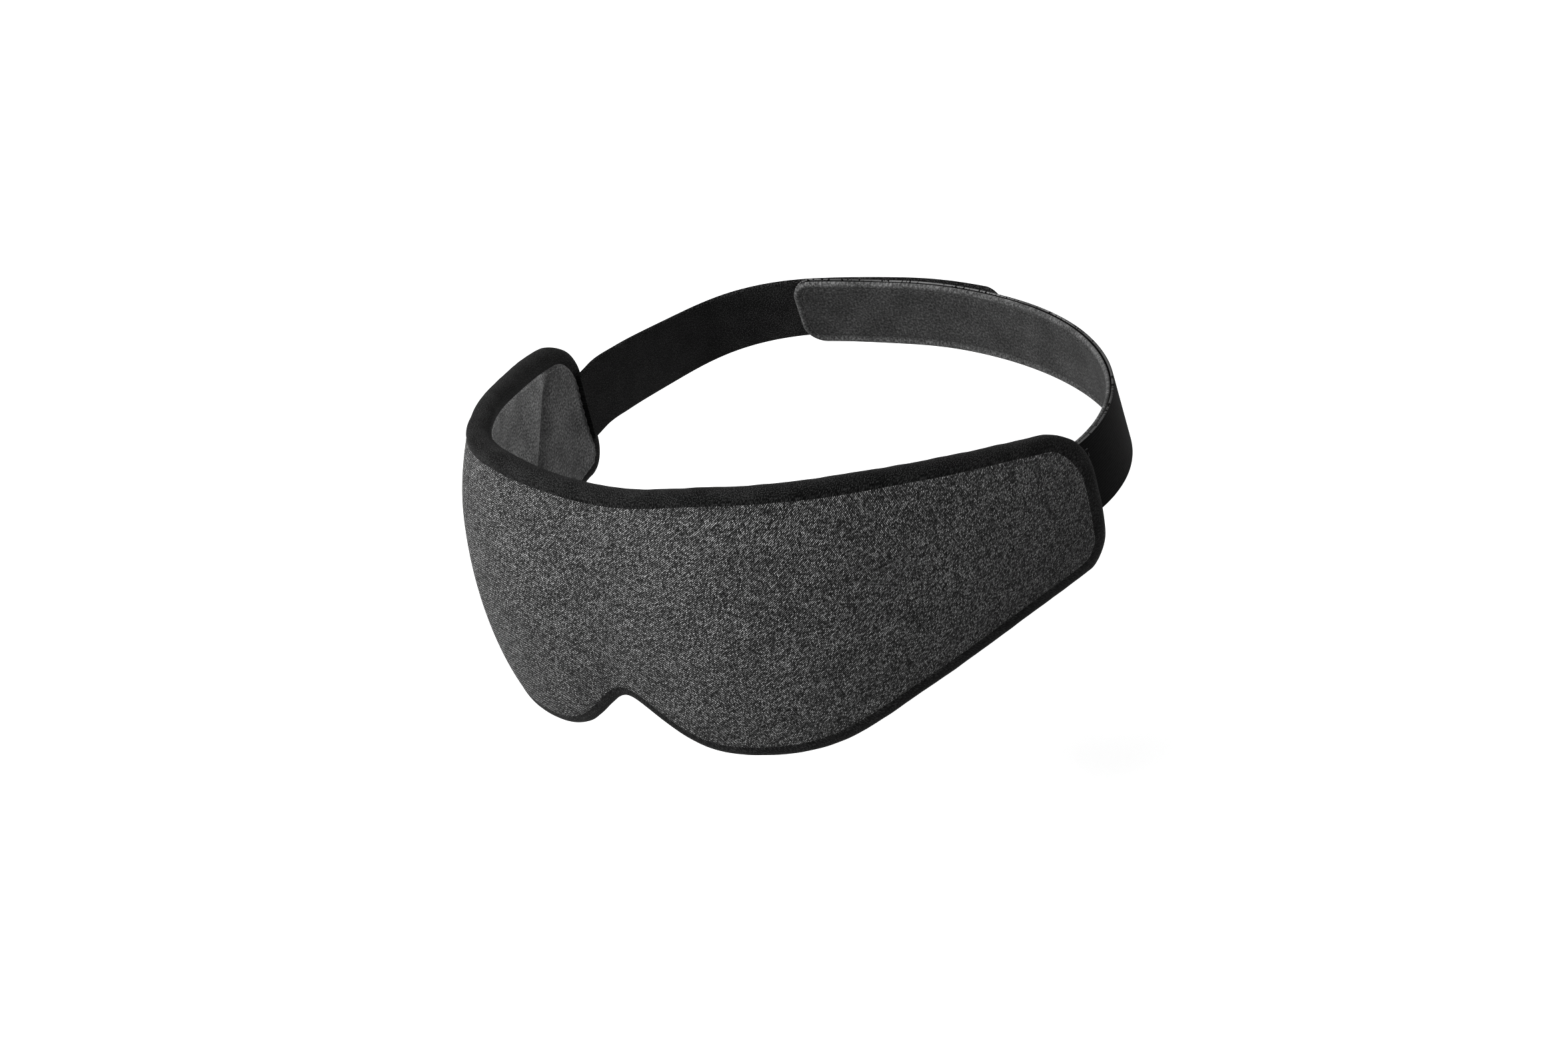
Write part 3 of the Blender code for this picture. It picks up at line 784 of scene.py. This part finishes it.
def rim_binding():
    """Black strip around the rim; its edges turn into the front and the face seams."""
    around, steps = 900, 26
    spacing = 0.75           # distance between points around, for the weave
    section_radius = 3.2     # radius of the section, for the weave
    past_seam = math.radians(24)     # how far the section turns in past its seams
    angles = np.linspace(-math.pi / 2 - past_seam, math.pi / 2 + past_seam, steps)
    outline = pad_loop(0.0, around)
    outward = pad_loop(-1.0, around) - outline
    pucker = PUCKER * soft_noise(np.arange(around) * spacing, np.zeros(around), scale=9, seed=5)
    front = front_seam(outline)

    def wall(inner):
        middle, half = (front + BACK_SEAM) / 2, (BACK_SEAM - front) / 2
        reach = RIM_BULGE + middle - inner
        full = np.sign(np.cos(angles)) * np.abs(np.cos(angles)) ** RIM_FULLNESS
        inset = middle + half * np.sin(angles) - reach * full
        depth = PAD_DEPTH / 2 + (PAD_DEPTH / 2 - inner) * np.sin(angles)
        return inset, depth

    outer_inset, outer_depth = wall(0.0)
    inner_inset, inner_depth = wall(CLOTH)
    end = END_BULGE * ease(np.abs(outline[:, 0]) / PAD_HALF, END_REACH, 1.0)
    inset = np.concatenate([outer_inset, inner_inset[:, ::-1]], axis=1)
    depth = np.concatenate([outer_depth, inner_depth[::-1]])
    bulge = np.concatenate([np.cos(angles), np.cos(angles[::-1])]).clip(0)
    moved = inset - (pucker + end)[:, None] * bulge[None]
    s = outline[:, None, 0] - outward[:, None, 0] * moved
    z = outline[:, None, 1] - outward[:, None, 1] * moved
    points = pad_points(s, z, depth[None])
    index = np.arange(points.shape[0] * points.shape[1]).reshape(points.shape[:2])
    run = np.arange(around)[:, None] * spacing + np.zeros_like(moved)
    section = np.concatenate([angles, angles[::-1]])[None] * section_radius + np.zeros_like(moved)
    binding = make_piece("rim_binding", points.reshape(-1, 3),
                         grid_quads(index, around=True, along=True).tolist(),
                         np.stack([run, section], axis=-1).reshape(-1, 2))
    return on_mask(binding, "black_band", "edge_gusset")


# ---- stitches ----

def stitches(name, sunk, raised, pitch, closed=True):
    """One mesh of separate stitches along a line of points. Each dips from raised to sunk at its
    ends."""
    if closed:
        sunk, raised = (np.concatenate([line, line[:1]]) for line in (sunk, raised))
    lengths = lengths_along(sunk)
    count = max(1, round(lengths[-1] / pitch))
    rings, sides = 7, 6
    t = np.linspace(0, 1, rings)
    starts = np.arange(count) * lengths[-1] / count
    places = starts[:, None] + t[None] * STITCH_SHARE * lengths[-1] / count
    low, high = (np.stack([np.interp(places, lengths, line[:, k]) for k in range(3)], axis=-1)
                 for line in (sunk, raised))
    arch = np.sin(math.pi * t)[None, :, None] ** 0.6
    centre = low + (high - low) * arch
    along = np.gradient(centre, axis=1)
    along /= np.linalg.norm(along, axis=-1)[..., None]
    lift = high - low
    lift /= np.linalg.norm(lift, axis=-1)[..., None]
    sideways = np.cross(along, lift)
    sideways /= np.linalg.norm(sideways, axis=-1)[..., None]
    lift = np.cross(sideways, along)
    angle = np.arange(sides) * 2 * math.pi / sides
    thick = THREAD * np.sqrt(np.clip(1 - (2 * t - 1) ** 4, 0.08, 1))[None, :, None, None]
    tube = (centre[:, :, None] + thick * (sideways[:, :, None] * np.cos(angle)[None, None, :, None]
                                          + lift[:, :, None] * np.sin(angle)[None, None, :, None]))
    index = np.arange(count * rings * sides).reshape(count, rings, sides)
    faces = [quad for stitch in index for quad in grid_quads(stitch, around=True).tolist()]
    for stitch in index:
        faces += [stitch[0].tolist(), stitch[-1][::-1].tolist()]
    turn = angle * THREAD + 0 * places[:, :, None]
    cloth = np.stack([places[:, :, None] + 0 * angle, turn], axis=-1)
    return make_piece(name, tube.reshape(-1, 3), faces, cloth.reshape(-1, 2))


def pad_stitches(name, inset, depth, lift, pitch):
    """Stitches all round the pad at an inset from its outline; lift is added to the depth."""
    s, z = pad_loop(inset, 1100).T
    base = depth(s, z)
    return stitches(name, pad_points(s, z, base - lift * 0.6), pad_points(s, z, base + lift), pitch)


def mask_stitches():
    """Stitches along both rim seams. Those of the knit lie inside its seam."""
    front = pad_stitches("front_seam_stitches", lambda edge: front_seam(edge) + FRONT_THREAD[0],
                         lambda s, z: 0 * s + FRONT_THREAD[1], -STITCH_LIFT, SEAM_PITCH)
    on_mask(front, "black_thread", "front_seam_thread")
    lining = pad_stitches("lining_seam_stitches", BACK_SEAM + LINING_THREAD[0], lining_depth,
                          LINING_THREAD[1], SEAM_PITCH)
    on_mask(lining, "grey_thread", "lining_seam_thread")


# ---- the headband ----

def edge_distance(u, across, half, tip):
    """Distance from a strap's edge: its long sides, and its tip with rounded corners."""
    from_tip = np.abs(u - tip) * LOOP_TOTAL
    from_side = half - np.abs(across)
    corner = TIP_RADIUS - np.hypot(TIP_RADIUS - from_tip, TIP_RADIUS - from_side)
    in_corner = (from_tip < TIP_RADIUS) & (from_side < TIP_RADIUS)
    return np.clip(np.where(in_corner, corner, np.minimum(from_tip, from_side)), 0, None)


def strap(name, start, end, layer, half_width, drop, tip=None, relief=None):
    """Closed flat strap from start to end; layer, half_width and drop are functions of u.
    relief moves the inner face inwards by a function of the distance from the edge."""
    length = abs(end - start) * LOOP_TOTAL
    steps = np.arange(0, length, STRAP_STEP)
    if tip is not None:
        near_tip = length - TIP_RADIUS * (1 - np.sin(np.linspace(0, math.pi / 2, 26)))
        steps = np.concatenate([steps[steps < length - TIP_RADIUS - STRAP_STEP / 3], near_tip])
    else:
        steps = np.append(steps, length)
    u = (start + (end - start) * steps / length)[:, None]
    full = half_width(u)
    half = full
    if tip is not None:
        into = np.clip(np.abs(u - tip) * LOOP_TOTAL, 0, TIP_RADIUS)
        squared = TIP_RADIUS ** 2 - (TIP_RADIUS - into) ** 2
        half = full - TIP_RADIUS + np.sqrt(np.clip(squared, 0, None))
    across = half * np.sin(np.linspace(-math.pi / 2, math.pi / 2, STRAP_COLUMNS))[None]
    u = u + 0 * across
    if tip is None:
        distance = full - np.abs(across)
    else:
        distance = edge_distance(u, across, full, tip)
    inner, outer = layer(u)
    middle, thick = (inner + outer) / 2, (outer - inner) / 2
    round_edge = round_over(distance, (outer - inner) * 0.6)
    inner_face = middle - thick * round_edge
    if relief is not None:
        inner_face = inner_face - relief(distance)
    near = loop_points(u, across - drop(u), inner_face)
    far = loop_points(u, across - drop(u), middle + thick * round_edge)
    return quilt(name, near, far, np.stack([u * LOOP_TOTAL, across, distance], axis=-1))


def no_drop(u):
    return 0.0 * u


def border_relief(distance):
    """Raised border of the grey lining, with the groove where it is stitched down."""
    ridge = RIDGE_RISE * np.exp(-((distance - RIDGE_WIDTH * 0.55) / (RIDGE_WIDTH * 0.36)) ** 2)
    groove = GROOVE_DEPTH * np.exp(-((distance - GROOVE_PLACE) / GROOVE_WIDTH) ** 2)
    return (ridge - groove) * ease(distance, 0.0, 0.5)


def bend(piece, u, length):
    """Finds the strap's points at u and a length further on, which nothing uses, and bakes the
    piece's transform; the piece is not bent.
    """
    places = (u, u + length / LOOP_TOTAL)
    start, end = (Vector(loop_points(np.array(place), 0, 0) * MM) for place in places)
    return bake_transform(piece)


def left_strap():
    """Grey lining inside and black loop face outside, sewn together along their edges."""
    root = 1 + ROOT_OVERLAP / LOOP_TOTAL
    lining = strap("grey_strap_lining", root, LINING_END, lambda u: LINING_LAYER, strap_half_width,
                   no_drop, tip=LINING_END, relief=border_relief)
    dress(lining, "grey_lining", ["left_strap_lining"])
    face = strap("grey_strap_loop_face", root, LINING_END, lambda u: LOOP_FACE_LAYER,
                 strap_half_width, no_drop, tip=LINING_END)
    dress(face, "loop_face", ["left_strap_loop_face"])
    for piece in (lining, face):
        bend(piece, 1.0, -LEFT_BEND)
    return lining, face


def right_strap():
    """Black band and its closure tab."""
    root = -ROOT_OVERLAP / LOOP_TOTAL
    band = strap("black_strap_band", root, TAB_HINGE, band_layer, band_half_width, band_drop)
    dress(band, "black_band", ["right_strap_band"])
    bend(band, 0.0, RIGHT_BEND)
    tab = strap("black_strap_tab", TAB_HINGE, TAB_TIP, band_layer, band_half_width, band_drop,
                tip=TAB_TIP)
    dress(tab, "black_band", ["closure_tab"])
    bend(tab, TAB_HINGE, TAB_BEND)
    return band, tab


def hook_layer(u):
    inner = band_layer(u)[0] - GAP
    return inner - HOOK_THICKNESS * 0.5, inner + GAP


def patch_half_width(u):
    return band_half_width(u) - HOOK_INSET


def hook_patch():
    """Hook tape sewn to the inner face of the tab."""
    patch = strap("hook_tape_patch", HOOK_START, HOOK_END, hook_layer, patch_half_width, band_drop,
                  tip=HOOK_END)
    dress(patch, "hook_tape", ["hook_patch"])
    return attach(patch, "closure")


def border_line(root, tip, half_width, inset):
    """(u, across) points along a strap's top edge, round its tip and back, at an inset."""
    step = 0.4 / LOOP_TOTAL * (1 if tip > root else -1)
    corner = TIP_RADIUS - inset
    stop = tip - math.copysign(TIP_RADIUS / LOOP_TOTAL, tip - root)
    u = np.arange(root, stop, step)
    top = np.stack([u, half_width(u) - inset], axis=1)
    angle = np.linspace(0, math.pi / 2, 24)
    half = half_width(stop)
    into = (corner * np.sin(angle)) / LOOP_TOTAL * math.copysign(1, tip - root)
    bow = np.stack([stop + into, half - TIP_RADIUS + corner * np.cos(angle)], axis=1)
    upper = np.concatenate([top, bow])
    lower = upper[::-1] * [1, -1]
    return np.concatenate([upper, lower])


def strap_stitches():
    """Stitches of the grey strap's border, of the hook tape and of both roots."""
    u, across = border_line(1.0, LINING_END, strap_half_width, GROOVE_PLACE).T
    base = LINING_LAYER[0] + GROOVE_DEPTH * 0.6
    border = stitches("left_strap_border_stitches", loop_points(u, across, base + 0.1),
                      loop_points(u, across, base - STITCH_LIFT), STRAP_PITCH, closed=False)
    dress(border, "black_thread", ["left_strap_border_thread"])
    bend(border, 1.0, -LEFT_BEND)
    u, across = border_line(HOOK_START, HOOK_END, patch_half_width, 1.0).T
    outer = band_layer(u)[1]
    across = across - band_drop(u)
    patch = stitches("hook_patch_stitches", loop_points(u, across, outer - STITCH_SINK),
                     loop_points(u, across, outer + STITCH_LIFT), PATCH_PITCH, closed=False)
    dress(patch, "black_thread", ["hook_patch_thread"])
    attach(patch, "closure")
    near, far, wide = ANCHOR_BOX
    for side, root, outer, length in (("left", 1.0, LOOP_FACE_LAYER[1], -LEFT_BEND),
                                      ("right", 0.0, BAND_THICKNESS / 2, RIGHT_BEND)):
        into = math.copysign(1 / LOOP_TOTAL, length)
        corners = np.array([(near, -wide), (near, wide), (far, wide), (far, -wide), (near, -wide)])
        t = np.linspace(0, 4, 200)
        u = root + into * np.interp(t, range(5), corners[:, 0])
        across = np.interp(t, range(5), corners[:, 1])
        box = stitches(side + "_anchor_stitches", loop_points(u, across, outer - STITCH_SINK),
                       loop_points(u, across, outer + STITCH_LIFT), STRAP_PITCH, closed=False)
        dress(box, "black_thread", [side + "_anchor_thread"])
        bend(box, root, length)


# ---- stage, light and camera ----

def floor():
    bpy.ops.mesh.primitive_plane_add(size=8, location=(0, 0, CAD_BOX[0].z - FLOOR_DROP * MM))
    plane = bpy.context.object
    plane.name = "floor"
    pale = Shader("floor", roughness=0.9, specular=0.1)
    place = pale.node("TexCoord", "Object", {})
    cloud = pale.node("TexNoise", "Fac", {"Vector": place, "Scale": 1.5})
    colour = pale.greys(cloud, ((0.0, 0.96), (1.0, 0.98)))
    pale.feed(pale.surface.inputs["Emission Color"], colour)
    pale.surface.inputs["Emission Strength"].default_value = 0.35
    plane.data.materials.append(pale.finish(colour, cloud, 0.02))
    plane.visible_diffuse = False


def towards(azimuth, elevation):
    """Direction from the object; azimuth 0 is in front of the mask, 90 degrees on the wearer's
    left."""
    return Vector((math.sin(azimuth) * math.cos(elevation),
                   -math.cos(azimuth) * math.cos(elevation), math.sin(elevation)))


def area_light(name, azimuth, elevation, distance, size, power):
    """Soft lamp that faces the object, from angles in degrees, metres and watts."""
    direction = towards(math.radians(azimuth), math.radians(elevation))
    lamp = bpy.data.objects.new(name, bpy.data.lights.new(name, "AREA"))
    lamp.data.size = size
    lamp.data.energy = power
    lamp.location = direction * distance
    lamp.rotation_euler = direction.to_track_quat("Z", "Y").to_euler()
    bpy.context.scene.collection.objects.link(lamp)


def lights():
    world = bpy.data.worlds.new("studio")
    world.use_nodes = True
    world.node_tree.nodes["Background"].inputs["Color"].default_value = (1, 1, 1, 1)
    world.node_tree.nodes["Background"].inputs["Strength"].default_value = 0.25
    bpy.context.scene.world = world
    bpy.context.scene.view_settings.view_transform = "Standard"
    area_light("key", azimuth=-50, elevation=36, distance=1.4, size=0.7, power=11.5)
    area_light("front", azimuth=0, elevation=40, distance=1.6, size=0.6, power=23.5)
    area_light("top", azimuth=-70, elevation=72, distance=1.5, size=0.8, power=3)
    area_light("back", azimuth=152, elevation=42, distance=1.6, size=0.5, power=6)


AZIMUTH = math.radians(42.13)
ELEVATION = math.radians(30.37)
ROLL = math.radians(-14.0)
AIM = Vector((-20.44, 0.0, -29.07)) * MM
DISTANCE = 2.121
LENS = 183.6
SENSOR = 36.0


def camera():
    back = towards(AZIMUTH, ELEVATION)
    level = Vector((math.cos(AZIMUTH), math.sin(AZIMUTH), 0))
    upright = back.cross(level)
    right = level * math.cos(ROLL) + upright * math.sin(ROLL)
    up = upright * math.cos(ROLL) - level * math.sin(ROLL)
    view = bpy.data.objects.new("camera", bpy.data.cameras.new("camera"))
    view.data.lens = LENS
    view.data.sensor_width = SENSOR
    turned = Matrix((right, up, back)).transposed().to_4x4()
    view.matrix_world = Matrix.Translation(AIM + back * DISTANCE) @ turned
    bpy.context.scene.collection.objects.link(view)
    bpy.context.scene.camera = view


def build():
    cover = knit_cover()
    pad = foam_pad()
    lining = face_lining()
    rim_binding()
    mask_stitches()
    strap_lining, strap_face = left_strap()
    band, tab = right_strap()
    hook_patch()
    strap_stitches()


build()
floor()
lights()
camera()
